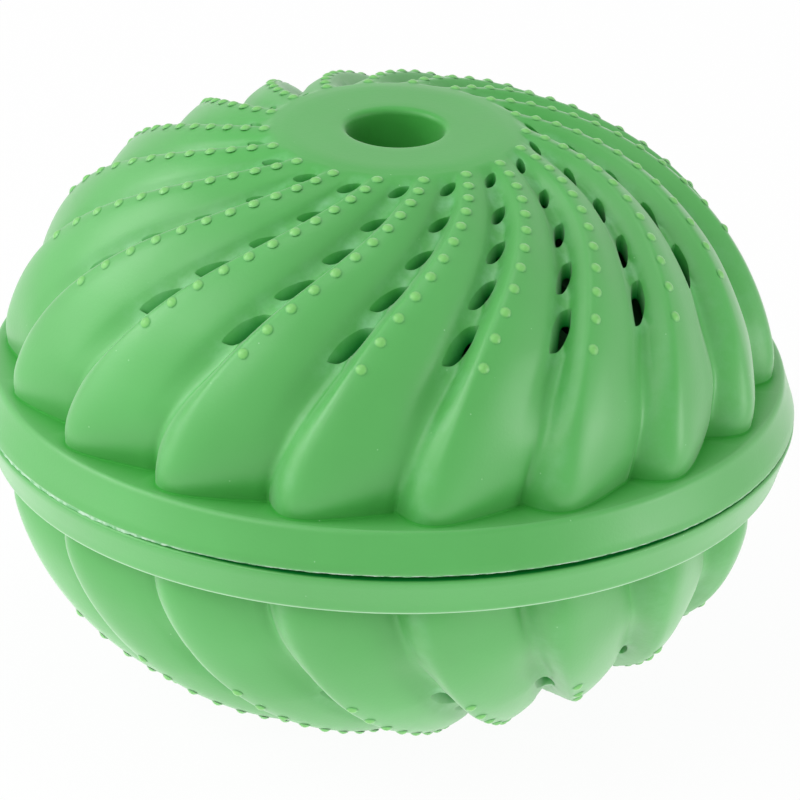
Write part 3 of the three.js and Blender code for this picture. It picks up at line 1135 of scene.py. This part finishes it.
@dataclass(frozen=True)
class CageForm:
    """Sizes of the hard pellet cage, which follow from the shells as the solids' sizes do."""

    shell: ShellForm = ShellForm()
    gap: float = 0.6
    wall: float = 1.4
    crown_hole: float = 3.0
    windows: int = 12
    window_width: float = 5.0
    window_start: float = 14.0
    window_pitch: float = 10.0
    window_length: float = 8.0
    window_rows: int = 2
    window_corner: Pair = (1.25, 1.25)
    edge: float = 0.25
    spigot_wall: float = 1.2
    spigot_root: float = 3.0

    @property
    def outer(self) -> Dome:
        """The cage's outer dome."""
        top = self.shell.disc_height - self.shell.collar_depth - self.shell.fit
        return Dome(self.shell.inner_foot - self.gap, top)

    @property
    def lining(self) -> Dome:
        """The cage's inner dome."""
        return Dome(self.outer.radius - self.wall, self.outer.height - self.wall)

    @property
    def rim_radius(self) -> float:
        """Radius of the rim that the shells clamp."""
        return self.shell.tongue_inner - self.shell.fit

    @property
    def spigot_outer(self) -> float:
        """Outer radius of the spigot that joins the halves."""
        return float(self.lining.radius_at(self.shell.seat_height)) - self.shell.fit

    def window_spans(self) -> list[Pair]:
        """Start and end radii of the rows of windows."""
        starts = [self.window_start + k * self.window_pitch for k in range(self.window_rows)]
        return [(start, start + self.window_length) for start in starts]


@dataclass
class HalfCage:
    """One hard half of the pellet cage, with two rows of windows and a clamped rim."""

    side: Side
    form: CageForm = CageForm()
    rib_columns: int = 4
    window_columns: int = 6
    window_rows: int = 7
    joint_rows: int = 3
    bar_rows: int = 3
    crown_rows: int = 6
    skirt_rows: int = 12

    def build(self) -> bpy.types.Object:
        """Models the half cage.

        Returns:
            The finished piece.
        """
        points, holes = self.lay_out()
        sector = Sector(self.form.windows)
        piece = sector.sew(f"{self.side.name.lower()}_pellet_cage", points, {})
        sector.pierce(piece, holes, self.form.edge)
        sector.close(piece)
        return piece

    def rows(self) -> tuple[np.ndarray, list[Span]]:
        """Radii of the outer wall's rows, and the rows at which the windows start and end."""
        f = self.form
        radii = [f.crown_hole]
        blocks = []
        for k, (start, end) in enumerate(f.window_spans()):
            lead = self.bar_rows if k else self.crown_rows
            first = len(radii) + lead - 1
            bar = np.linspace(radii[-1], start, lead + 1)[1:]
            window = np.linspace(start, end, self.window_rows + 1)[1:]
            radii += [*bar, *window]
            blocks.append((first, first + self.window_rows))
        neck = float(f.outer.radius_at(f.shell.tongue_height))
        return np.array([*radii, *f.outer.even_radii(radii[-1], neck, self.skirt_rows)]), blocks

    def shares(self, r: np.ndarray) -> np.ndarray:
        """Shares of a window's pitch for the columns at a radius."""
        f = self.form
        spans = f.window_spans()
        held = np.clip(r, spans[0][0], spans[-1][1])
        half = f.window_width / 2 * f.windows / (FULL_TURN * held)
        rib = np.linspace(0, 1, self.rib_columns + 1)
        pane = np.linspace(-1, 1, self.window_columns + 1)
        left = (0.5 - half) * rib
        return np.concatenate([left, 0.5 + half * pane[1:-1], 1 - left[..., ::-1]], axis=-1)

    def turn(self, r: np.ndarray, radius: np.ndarray, height: np.ndarray) -> np.ndarray:
        """Points of rows round the axis.

        Args:
            r: radius that sets the columns.
            radius: distance of each row from the axis.
            height: height of each row above the seam.

        Returns:
            Points by row and column.
        """
        angle = self.shares(np.asarray(r, float)[:, None]) * FULL_TURN / self.form.windows
        return ring_points(np.asarray(radius)[:, None], angle, np.asarray(height)[:, None])

    def joint_section(self) -> list[Pair]:
        """Points from the neck round the clamped rim and the joint to the lining."""
        f, shell = self.form, self.form.shell
        edge = f.edge
        section = [
            (f.rim_radius - edge, shell.tongue_height),
            (f.rim_radius, shell.tongue_height - edge),
            (f.rim_radius, shell.seam_face + edge),
            (f.rim_radius - edge, shell.seam_face),
        ]
        if self.side is Side.UPPER:
            bore = f.spigot_outer + shell.fit
            return [*section, (bore, shell.seam_face), (bore, shell.seat_height)]
        outer, inner = f.spigot_outer, f.spigot_outer - f.spigot_wall
        tip = -shell.tongue_height
        section += [(outer, shell.seam_face), (outer, tip + edge), (outer - edge, tip)]
        return [*section, (inner + edge, tip), (inner, tip + edge), (inner, f.spigot_root)]

    def lay_out(self) -> tuple[np.ndarray, list[Hole]]:
        """Rows of points round the section of one window's slice.

        Returns:
            The points and the windows.
        """
        f = self.form
        radii, blocks = self.rows()
        columns = (self.rib_columns, self.rib_columns + self.window_columns)
        outer = self.turn(radii, radii, f.outer.height_at(radii))
        lining_end = len(radii) - self.joint_rows
        lining_radii = radii[:lining_end] * f.lining.radius / f.outer.radius
        lining = self.turn(radii[:lining_end], lining_radii, f.lining.height_at(lining_radii))
        for block in blocks:
            for wall in (outer, lining):
                Sector.round_hole(wall, block, columns, f.window_corner, f.window_corner)
        joint_r, joint_z = np.array(self.joint_section()).T
        joint = self.turn(np.full(len(joint_r), radii[-1]), joint_r, joint_z)
        points = np.concatenate([outer, joint, lining[::-1], outer[:1]])
        last = len(outer) + len(joint) + len(lining) - 1
        holes = [Hole(block, (last - block[1], last - block[0]), columns) for block in blocks]
        points[..., 2] *= self.side.value
        return points, holes


@dataclass(frozen=True)
class PelletForm:
    """How a ceramic pellet departs from a ball."""

    dents: float = 0.16
    dent_scale: float = 260.0
    pores: float = 0.05
    pore_scale: float = 900.0
    subdivisions: int = 4
    seed_shift: Triple = (0.37, 0.11, 0.53)

    def build(self, node: str, name: str, seed: int) -> bpy.types.Object:
        """Models one pellet in the place of its solid.

        Args:
            node: the solid that it stands for.
            name: the piece's name.
            seed: shifts the dents, so that no two pellets match.

        Returns:
            The finished piece.
        """
        low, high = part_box(node)
        centre, radius = (low + high) / 2, (high - low).x / 2
        bpy.ops.object.select_all(action="DESELECT")
        bpy.ops.mesh.primitive_ico_sphere_add(subdivisions=self.subdivisions, radius=radius)
        piece = bpy.context.object
        piece.name = piece.data.name = name
        shift = Vector([seed * step for step in self.seed_shift])
        places = Bench.read(piece)
        for k, place in enumerate(places):
            spot = Vector(place)
            dent = noise.noise(spot * self.dent_scale + shift) * self.dents
            pore = min(noise.noise(spot * self.pore_scale + shift), 0) * self.pores
            places[k] = place * (1 + (dent + pore - self.dents) * MM / radius)
        Bench.write(piece, places + np.array(centre))
        bpy.ops.object.shade_smooth()
        return piece


@dataclass(frozen=True)
class SeamFlash:
    """The ragged fin of rubber that the mould left along the upper half's seam edge."""

    form: ShellForm = ShellForm()
    segments: int = 1440
    inset: float = 0.16
    thickness: float = 0.14
    root: float = 0.35
    fringe: float = 0.1
    web: float = 0.3
    web_evenness: float = 0.6
    ragged_scale: float = 900.0
    ragged_mean: float = 0.45
    ragged_coarse: float = 0.8
    ragged_fine: float = 0.35
    fine_scale: float = 3600.0
    merge: float = 0.001
    crease: float = math.radians(50)
    web_start: Pair = (math.radians(-100), math.radians(-85))
    web_end: Pair = (math.radians(-42), math.radians(-22))

    def build(self) -> bpy.types.Object:
        """Models the fin as a thin closed ring with a ragged edge.

        Returns:
            The finished piece.
        """
        bpy.ops.object.select_all(action="DESELECT")
        outer = self.form.rim_radius - self.inset
        bpy.ops.mesh.primitive_cylinder_add(
            vertices=self.segments, radius=outer * MM, depth=MM, end_fill_type="NOTHING"
        )
        piece = bpy.context.object
        piece.name = piece.data.name = "seam_flash"
        Bench.edit(piece, "FACE", np.ones(len(piece.data.polygons), bool))
        bpy.ops.mesh.solidify(thickness=self.thickness * MM)
        Bench.leave()
        places = Bench.read(piece)
        angle = np.arctan2(places[:, 0], -places[:, 1])
        ragged = np.array([self.ragged(place) for place in places])
        webbed = smooth_band(self.web_start, self.web_end, angle)
        edge = self.form.seam_face + self.form.bend_at(angle)
        uneven = self.web_evenness + (1 - self.web_evenness) * ragged
        reach = self.fringe * ragged + self.web * webbed * uneven
        places[:, 2] = np.where(places[:, 2] > 0, edge + self.root, edge - reach) * MM
        Bench.write(piece, places)
        Bench.finish(piece, self.merge, self.crease)
        return piece

    def ragged(self, place: np.ndarray) -> float:
        """How far the fin's edge runs out at a place, from 0 to 1."""
        spot = Vector((place[0], place[1], 0))
        coarse = noise.noise(spot * self.ragged_scale)
        fine = noise.noise(spot * self.fine_scale)
        return float(np.clip(self.ragged_mean + self.ragged_coarse * coarse + self.ragged_fine * fine, 0, 1))


@dataclass(frozen=True)
class Clouds:
    """Noise on object coordinates, read as shares that rise from its low value to its high one.

    The scale counts waves in a metre.
    """

    scale: float
    low: float
    high: float
    detail: float = 3.0


@dataclass(frozen=True)
class Specks:
    """Round specks on object coordinates: cells in a metre, radius as a share of a cell, and strength."""

    scale: float
    size: float
    strength: float


@dataclass(frozen=True)
class Grain:
    """Fine roughness of a surface: waves in a metre, strength, and depth in millimetres."""

    scale: float
    strength: float
    depth: float
    detail: float = 3.0


@dataclass(frozen=True)
class NodeSketch:
    """A node tree, drawn node by node; its owner is a material or the world."""

    owner: bpy.types.ID
    noise_roughness: float = 0.55
    speck_core: float = 0.6

    def __post_init__(self) -> None:
        """Empties the tree."""
        self.owner.use_nodes = True
        self.owner.node_tree.nodes.clear()

    def add(self, kind: str, inputs: dict | None = None, **settings: object) -> bpy.types.Node:
        """Adds a node.

        Args:
            kind: the node's type.
            inputs: values or sockets for its inputs, by name or place.
            settings: the node's own settings.

        Returns:
            The node.
        """
        tree = self.owner.node_tree
        node = tree.nodes.new(kind)
        for key, value in settings.items():
            setattr(node, key, value)
        for key, value in (inputs or {}).items():
            if isinstance(value, bpy.types.NodeSocket):
                tree.links.new(value, node.inputs[key])
            else:
                node.inputs[key].default_value = value
        return node

    def noise(self, scale: float, detail: float) -> bpy.types.NodeSocket:
        """Noise on object coordinates, about 0.5; scale counts its waves in a metre."""
        place = self.add("ShaderNodeTexCoord").outputs["Object"]
        inputs = {"Vector": place, "Scale": scale, "Detail": detail, "Roughness": self.noise_roughness}
        return self.add("ShaderNodeTexNoise", inputs).outputs["Fac"]

    def clouds(self, clouds: Clouds) -> bpy.types.NodeSocket:
        """Soft shares from 0 to 1."""
        return self.ramp(self.noise(clouds.scale, clouds.detail), clouds.low, clouds.high)

    def specks(self, specks: Specks) -> bpy.types.NodeSocket:
        """The specks' strength in a speck and 0 elsewhere."""
        place = self.add("ShaderNodeTexCoord").outputs["Object"]
        cells = self.add("ShaderNodeTexVoronoi", {"Vector": place, "Scale": specks.scale}).outputs["Distance"]
        core = specks.size * self.speck_core
        return self.math("MULTIPLY", self.ramp(cells, specks.size, core), specks.strength)

    def ramp(self, value: bpy.types.NodeSocket, low: float, high: float) -> bpy.types.NodeSocket:
        """Rises from 0 at low to 1 at high, and is held outside."""
        inputs = {"Value": value, "From Min": low, "From Max": high}
        return self.add("ShaderNodeMapRange", inputs).outputs["Result"]

    def math(self, operation: str, a: object, b: object) -> bpy.types.NodeSocket:
        """The result of one sum on two values or sockets."""
        return self.add("ShaderNodeMath", {0: a, 1: b}, operation=operation).outputs["Value"]

    def mark(self, name: str) -> bpy.types.NodeSocket:
        """The number that a mesh stores for each vertex under a name."""
        return self.add("ShaderNodeAttribute", attribute_name=name).outputs["Fac"]

    def mix(self, share: bpy.types.NodeSocket, start: object, end: object) -> bpy.types.NodeSocket:
        """A colour between two colours or colour sockets."""
        inputs = {"Factor": share, 6: self.colour(start), 7: self.colour(end)}
        return self.add("ShaderNodeMix", inputs, data_type="RGBA").outputs[2]

    @staticmethod
    def colour(value: object) -> object:
        """A colour with its alpha, or the socket as it is."""
        return (*value, 1.0) if isinstance(value, tuple) else value

    def bump(self, grain: Grain) -> bpy.types.NodeSocket:
        """A surface roughened by a grain."""
        height = self.noise(grain.scale, grain.detail)
        inputs = {"Height": height, "Strength": grain.strength, "Distance": grain.depth * MM}
        return self.add("ShaderNodeBump", inputs).outputs["Normal"]

    def seen(self) -> bpy.types.NodeSocket:
        """1 where the camera or a reflection looks at it, and 0 where it only lights other things."""
        path = self.add("ShaderNodeLightPath")
        return self.math("MAXIMUM", path.outputs["Is Camera Ray"], path.outputs["Is Glossy Ray"])

    def surface(self, inputs: dict) -> bpy.types.Material:
        """Ends the tree with the surface's shader.

        Args:
            inputs: values or sockets for the shader's inputs.

        Returns:
            The material.
        """
        shader = self.add("ShaderNodeBsdfPrincipled", inputs)
        self.add("ShaderNodeOutputMaterial", {"Surface": shader.outputs["BSDF"]})
        return self.owner


@dataclass(frozen=True)
class RubberFinish:
    """Satin moulded rubber: mottled green, milky where it bloomed, with a painted highlight down the steep
    faces below the slots, painted shade in the slots and on the lining, a painted highlight line on the lower
    rim's edge, dusty, paler on the nubs.
    """

    name: str = "satin_green_rubber"
    green: Triple = (0.056, 0.385, 0.06)
    deep: Triple = (0.048, 0.352, 0.05)
    milky_and_highlight: Triple = (0.2, 0.54, 0.26)
    nub: Triple = (0.19, 0.57, 0.11)
    nub_share: float = 0.65
    # Pale dust for the specks; the same colour paints a highlight line on the lower rim's edge, at the share
    # below.
    dust_and_edge_highlight: Triple = (0.4, 0.68, 0.42)
    edge_highlight_share: float = 0.8
    # Painted shade: the deep green of the slot walls, the seam land and the lining.
    inside: Triple = (0.01, 0.28, 0.045)
    mottle: Clouds = Clouds(45.0, 0.35, 0.65)
    cloudy: Clouds = Clouds(420.0, 0.42, 0.7, 4.0)
    dusty: Specks = Specks(300.0, 0.035, 0.4)
    grain: Grain = Grain(2600.0, 0.25, 0.05, 2.0)
    roughness: float = 0.45
    roughness_swing: float = 0.12
    roughness_scale: float = 180.0
    roughness_detail: float = 3.0
    gloss: float = 0.9
    sheen: float = 0.45
    sheen_roughness: float = 0.4

    def make(self) -> bpy.types.Material:
        """Draws the material."""
        draw = NodeSketch(bpy.data.materials.new(self.name))
        colour = draw.mix(draw.clouds(self.mottle), self.deep, self.green)
        # Milky bloom on the bridges; down the steep faces it is a painted highlight.
        bloom_and_highlight_share = draw.math("MULTIPLY", draw.mark("bloom"), draw.clouds(self.cloudy))
        colour = draw.mix(bloom_and_highlight_share, colour, self.milky_and_highlight)
        colour = draw.mix(draw.math("MULTIPLY", draw.mark("nub"), self.nub_share), colour, self.nub)
        colour = draw.mix(draw.specks(self.dusty), colour, self.dust_and_edge_highlight)
        # Painted highlight line on the lower rim's edge.
        colour = draw.mix(draw.math("MULTIPLY", draw.mark("edge"), self.edge_highlight_share), colour, self.dust_and_edge_highlight)
        # Painted shade on the inner walls.
        colour = draw.mix(draw.mark("inner"), colour, self.inside)
        haze = draw.math("SUBTRACT", 1.0, draw.mark("dull"))
        swing_by = draw.noise(self.roughness_scale, self.roughness_detail)
        swung = draw.math("MULTIPLY", swing_by, self.roughness_swing)
        return draw.surface(
            {
                "Base Color": colour,
                "Roughness": draw.math("ADD", swung, self.roughness - self.roughness_swing / 2),
                "Normal": draw.bump(self.grain),
                "Specular IOR Level": draw.math("MULTIPLY", haze, self.gloss),
                "Sheen Weight": draw.math("MULTIPLY", haze, self.sheen),
                "Sheen Roughness": self.sheen_roughness,
            }
        )


@dataclass(frozen=True)
class FlashFinish:
    """Thin torn rubber, whitened by stretching."""

    name: str = "whitened_rubber"
    pale: Triple = (0.16, 0.46, 0.19)
    white: Triple = (0.45, 0.66, 0.48)
    streaks: Clouds = Clouds(900.0, 0.4, 0.6)
    grain: Grain = Grain(3000.0, 0.4, 0.05)
    roughness: float = 0.6

    def make(self) -> bpy.types.Material:
        """Draws the material."""
        draw = NodeSketch(bpy.data.materials.new(self.name))
        colour = draw.mix(draw.clouds(self.streaks), self.pale, self.white)
        grain = draw.bump(self.grain)
        return draw.surface({"Base Color": colour, "Roughness": self.roughness, "Normal": grain})


@dataclass(frozen=True)
class PlasticFinish:
    """Hard dark green plastic with a finely sparked mould texture."""

    name: str = "dark_green_plastic"
    green: Triple = (0.03, 0.19, 0.05)
    worn: Triple = (0.045, 0.24, 0.065)
    wear: Clouds = Clouds(70.0, 0.4, 0.65)
    roughness: Clouds = Clouds(260.0, -1.2, 1.6)
    grain: Grain = Grain(2200.0, 0.3, 0.06, 2.0)

    def make(self) -> bpy.types.Material:
        """Draws the material."""
        draw = NodeSketch(bpy.data.materials.new(self.name))
        colour = draw.mix(draw.clouds(self.wear), self.green, self.worn)
        rough = draw.clouds(self.roughness)
        return draw.surface({"Base Color": colour, "Roughness": rough, "Normal": draw.bump(self.grain)})


@dataclass(frozen=True)
class CeramicFinish:
    """Unglazed fired ceramic with dark and pale grog specks."""

    kind: Pellet
    clay: Triple
    shade: Triple
    firing: Clouds = Clouds(330.0, 0.35, 0.65, 4.0)
    dark_specks: Specks = Specks(1500.0, 0.22, 0.6)
    darkness: float = 0.45
    pale_specks: Specks = Specks(1100.0, 0.18, 0.5)
    paleness: Pair = (0.25, 0.9)
    roughness: Clouds = Clouds(500.0, -2.2, 1.2)
    grain: Grain = Grain(1700.0, 0.5, 0.12, 4.0)

    def make(self) -> bpy.types.Material:
        """Draws the material."""
        draw = NodeSketch(bpy.data.materials.new(f"{self.kind.value}_ceramic"))
        colour = draw.mix(draw.clouds(self.firing), self.shade, self.clay)
        dark = tuple(self.darkness * c for c in self.shade)
        pale = tuple(min(1.0, self.paleness[0] + self.paleness[1] * c) for c in self.clay)
        colour = draw.mix(draw.specks(self.dark_specks), colour, dark)
        colour = draw.mix(draw.specks(self.pale_specks), colour, pale)
        rough = draw.clouds(self.roughness)
        return draw.surface({"Base Color": colour, "Roughness": rough, "Normal": draw.bump(self.grain)})


CERAMICS = (
    CeramicFinish(Pellet.GREY, (0.26, 0.275, 0.28), (0.19, 0.2, 0.205)),
    CeramicFinish(Pellet.BROWN, (0.36, 0.15, 0.07), (0.25, 0.1, 0.045)),
    CeramicFinish(Pellet.WHITE, (0.8, 0.76, 0.68), (0.66, 0.62, 0.54)),
    CeramicFinish(Pellet.BLUE, (0.21, 0.32, 0.43), (0.15, 0.23, 0.32)),
)


@dataclass(frozen=True)
class Softbox:
    """A square lamp that faces the ball, out of the camera's sight; place and width are in metres."""

    name: str
    place: Triple
    width: float
    watts: float

    def hang(self) -> None:
        """Adds the lamp."""
        data = bpy.data.lights.new(self.name, "AREA")
        data.size = self.width
        data.energy = self.watts
        lamp = bpy.data.objects.new(self.name, data)
        lamp.visible_camera = False
        bpy.context.scene.collection.objects.link(lamp)
        place = Vector(self.place)
        turned = (Vector((0, 0, 0)) - place).to_track_quat("-Z", "Y").to_matrix().to_4x4()
        lamp.matrix_world = Matrix.Translation(place) @ turned


SOFTBOXES = (
    Softbox("left_softbox", (-0.62, -0.1, 0.06), 0.45, 0.9),
    Softbox("left_back_softbox", (-0.58, 0.02, 0.4), 0.3, 1.4),
    Softbox("front_softbox", (-0.4, -0.45, 0.5), 0.4, 1.3),
    Softbox("right_softbox", (0.6, -0.16, 0.03), 0.22, 1.0),
    Softbox("top_softbox", (0.0, 0.05, 0.75), 0.4, 0.7),
    Softbox("light_table", (0.0, 0.0, -0.0358), 0.26, 0.1),
)


@dataclass
class Studio:
    """White sweep, soft light and the photograph's camera."""

    focal_px: float = 5553.0
    frame_px: float = 800.0
    distance: float = 684.4
    elevation: float = math.radians(24.936)
    roll: float = math.radians(1.653)
    pan: float = math.radians(0.127)
    tilt: float = math.radians(-0.038)
    sensor: float = 36.0
    clip: Pair = (0.01, 20.0)
    tent_wall: float = 0.68
    tent_roof: float = 0.54
    floor_radius: float = 3.0
    floor_sides: int = 96
    floor_colour: Triple = (0.92, 0.92, 0.92)
    floor_white: float = 0.96

    def set_camera(self) -> None:
        """Places the camera where the photograph was taken from."""
        data = bpy.data.cameras.new("photo_camera")
        data.sensor_width = self.sensor
        data.lens = self.focal_px / self.frame_px * self.sensor
        data.clip_start, data.clip_end = self.clip
        camera = bpy.data.objects.new("photo_camera", data)
        bpy.context.scene.collection.objects.link(camera)
        forward = Vector((0, math.cos(self.elevation), -math.sin(self.elevation)))
        right = Vector((1, 0, 0))
        place = forward * (-self.distance * MM)
        right, up = swing(right, right.cross(forward), self.roll)
        forward, right = swing(forward, right, self.pan)
        forward, up = swing(forward, up, self.tilt)
        turned = Matrix((right, up, -forward)).transposed().to_4x4()
        camera.matrix_world = Matrix.Translation(place) @ turned
        bpy.context.scene.camera = camera

    def set_light(self) -> None:
        """Hangs the softboxes and lights the white surroundings."""
        for box in SOFTBOXES:
            box.hang()
        world = bpy.data.worlds.new("white_tent")
        bpy.context.scene.world = world
        draw = NodeSketch(world)
        place = draw.add("ShaderNodeTexCoord").outputs["Generated"]
        height = draw.add("ShaderNodeSeparateXYZ", {"Vector": place}).outputs["Z"]
        tent = {"Value": height, "To Min": self.tent_wall, "To Max": self.tent_roof}
        light = draw.add("ShaderNodeMapRange", tent).outputs["Result"]
        shown = {"Value": draw.seen(), "To Min": light, "To Max": 1.0}
        strength = draw.add("ShaderNodeMapRange", shown).outputs["Result"]
        white = draw.add("ShaderNodeBackground", {"Color": WHITE, "Strength": strength})
        draw.add("ShaderNodeOutputWorld", {"Surface": white.outputs["Background"]})
        bpy.context.scene.view_settings.view_transform = "Standard"

    def lay_floor(self, height: float) -> None:
        """Lays the white floor under the ball.

        Args:
            height: the floor's height in metres.
        """
        bpy.ops.object.select_all(action="DESELECT")
        bpy.ops.mesh.primitive_circle_add(
            vertices=self.floor_sides, radius=self.floor_radius, fill_type="NGON"
        )
        floor = bpy.context.object
        floor.name = "floor"
        Bench.write(floor, Bench.read(floor) + np.array([0, 0, height]))
        draw = NodeSketch(bpy.data.materials.new("white_floor"))
        share = draw.math("MULTIPLY", draw.seen(), self.floor_white)
        lit = draw.add("ShaderNodeBsdfDiffuse", {"Color": draw.colour(self.floor_colour)}).outputs["BSDF"]
        glow = draw.add("ShaderNodeEmission", {"Color": WHITE, "Strength": 1.0}).outputs["Emission"]
        both = draw.add("ShaderNodeMixShader", {0: share, 1: lit, 2: glow}).outputs["Shader"]
        draw.add("ShaderNodeOutputMaterial", {"Surface": both})
        floor.data.materials.append(draw.owner)
        floor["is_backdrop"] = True


def main() -> None:
    """Builds the ball round the solids and lights it."""
    logging.basicConfig(level=logging.INFO, format="%(message)s")
    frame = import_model()
    cad_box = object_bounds()
    studio = Studio()
    studio.set_camera()
    studio.set_light()
    studio.lay_floor(cad_box[0].z)

    rubber = RubberFinish().make()
    plastic = PlasticFinish().make()
    for side in Side:
        half = side.name.lower()
        shell = HalfShell(side).build()
        Bench.mount(shell, f"{half}_shell", f"{half}_shell", "shell_rubber", rubber)
        cage = HalfCage(side).build()
        Bench.mount(cage, f"{half}_cage", f"{half}_cage", "cage_plastic", plastic)
    flash = SeamFlash().build()
    flash.data.materials.append(FlashFinish().make())
    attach(flash, "upper_shell")
    LOG.info("%s: %d faces on %s", flash.name, len(flash.data.polygons), "upper_shell")

    form = PelletForm()
    for place, finish in enumerate(CERAMICS):
        kind = finish.kind.value
        material = finish.make()
        for number, node in enumerate(n for n in sorted(frame["nodes"]) if n.startswith(kind)):
            pellet = form.build(node, f"{node}_fired", number * len(CERAMICS) + place)
            Bench.mount(pellet, "pellets", node, f"{kind}_ceramic", material)


if __name__ == "__main__":
    main()
